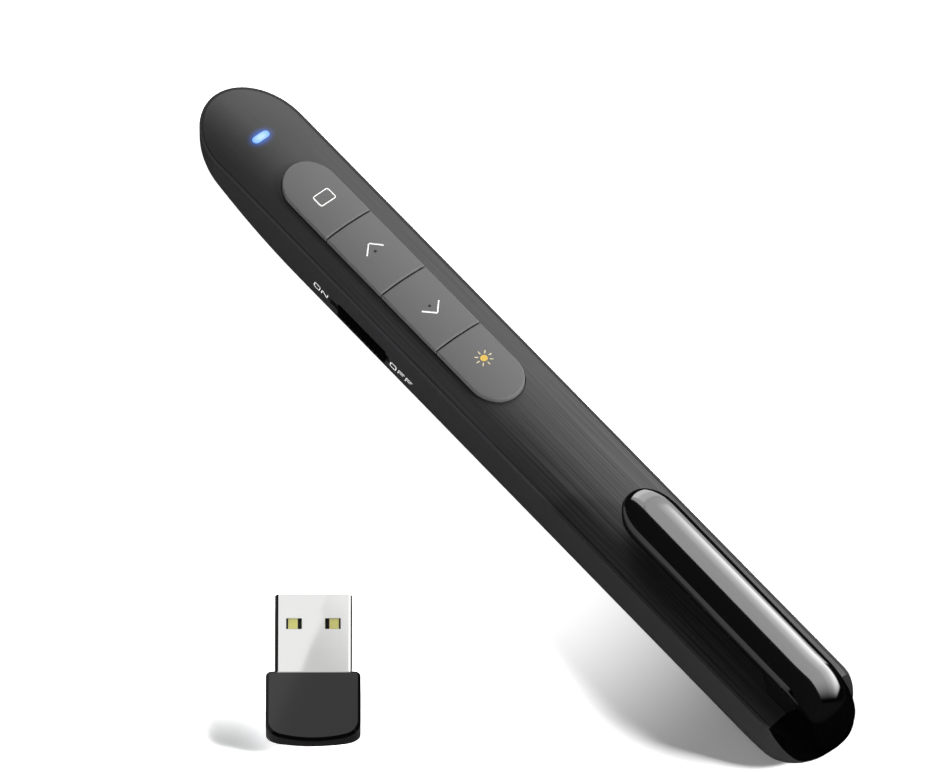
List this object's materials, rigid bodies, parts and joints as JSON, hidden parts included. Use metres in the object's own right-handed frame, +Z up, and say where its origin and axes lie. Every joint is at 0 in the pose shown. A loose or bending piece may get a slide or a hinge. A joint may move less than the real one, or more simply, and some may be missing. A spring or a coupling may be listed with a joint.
{
  "type": "wireless presentation clicker",
  "caption": "Slim handheld presentation clicker with raised keys, side power slider, laser tip and pocket clip, with its USB receiver.",
  "frame": {"origin": "on the resting plane, under the middle of the clicker's body", "axes": "+Z up from the flat base, +Y along the body towards the laser tip, +X across it to the right; the power slider is on the -X side"},
  "size_m": [0.0739, 0.1542, 0.0206],
  "materials": {
    "shell_black": "fine matt texture, as moulded",
    "cover_brushed": "satin, finely brushed lengthwise",
    "clip_gloss": "piano black, polished",
    "key_grey": "soft matt",
    "knob_black": "matt, ribbed",
    "board_green": "solder mask",
    "part_black": "moulded package",
    "part_steel": "plain",
    "screw_steel": "plain",
    "led_white": "clear resin",
    "pipe_glow": "clear acrylic, lit blue",
    "brass": "turned",
    "optic_glass": "polished",
    "cell_sleeve": "printed film sleeve, plain",
    "usb_steel": "nickel plated, satin",
    "usb_gold": "gold flashed",
    "cap_black": "semi-gloss"
  },
  "bodies": {
    "housing": {"bottom_shell": "shell_black", "top_cover": "cover_brushed", "tail_strap": "clip_gloss", "main_board": "board_green", "receiver_board": "board_green", "controller_chip": "part_black", "receiver_chip": "part_black", "voltage_regulator": "part_black", "tact_switches": "part_black", "usb_tongue": "part_black", "crystal": "part_steel", "receiver_crystal": "part_steel", "slide_switch": "part_steel", "laser_diode": "part_steel", "battery_contact": "part_steel", "battery_spring": "part_steel", "board_screws": "screw_steel", "case_screws": "screw_steel", "status_led": "led_white", "light_pipe": "pipe_glow", "laser_housing": "brass", "laser_lens": "optic_glass", "laser_window": "optic_glass", "battery_cell": "cell_sleeve", "usb_shell": "usb_steel", "usb_contacts": "usb_gold", "receiver_cap": "cap_black"},
    "key_screen": {"key_screen": "key_grey"},
    "key_page_up": {"key_page_up": "key_grey"},
    "key_page_down": {"key_page_down": "key_grey"},
    "key_laser": {"key_laser": "key_grey"},
    "power_slider": {"power_slider": "knob_black", "switch_lever": "part_black"},
    "battery_door": {"battery_door": "shell_black"},
    "clip_arm": {"clip_arm": "clip_gloss"}
  },
  "joints": [
    {"name": "key_screen_press", "type": "slide", "parent": "housing", "child": "key_screen", "axis": [0, 0, -1], "range_m": [0, 0.0004], "stiffness_N_per_m": 3000, "springref_m": -0.0001},
    {"name": "key_page_up_press", "type": "slide", "parent": "housing", "child": "key_page_up", "axis": [0, 0, -1], "range_m": [0, 0.0004], "stiffness_N_per_m": 3000, "springref_m": -0.0001},
    {"name": "key_page_down_press", "type": "slide", "parent": "housing", "child": "key_page_down", "axis": [0, 0, -1], "range_m": [0, 0.0004], "stiffness_N_per_m": 3000, "springref_m": -0.0001},
    {"name": "key_laser_press", "type": "slide", "parent": "housing", "child": "key_laser", "axis": [0, 0, -1], "range_m": [0, 0.0004], "stiffness_N_per_m": 3000, "springref_m": -0.0001},
    {"name": "power_slide", "type": "slide", "parent": "housing", "child": "power_slider", "axis": [0, 1, 0], "range_m": [0, 0.002]},
    {"name": "battery_door_slide", "type": "slide", "parent": "housing", "child": "battery_door", "axis": [0, -1, 0], "range_m": [0, 0.006]},
    {"name": "clip_flex", "type": "hinge", "parent": "housing", "child": "clip_arm", "pos_m": [0, -0.066, 0.0195], "axis": [1, 0, 0], "range_deg": [0, 4], "stiffness_Nm_per_rad": 2, "springref_deg": -2.86}
  ]
}
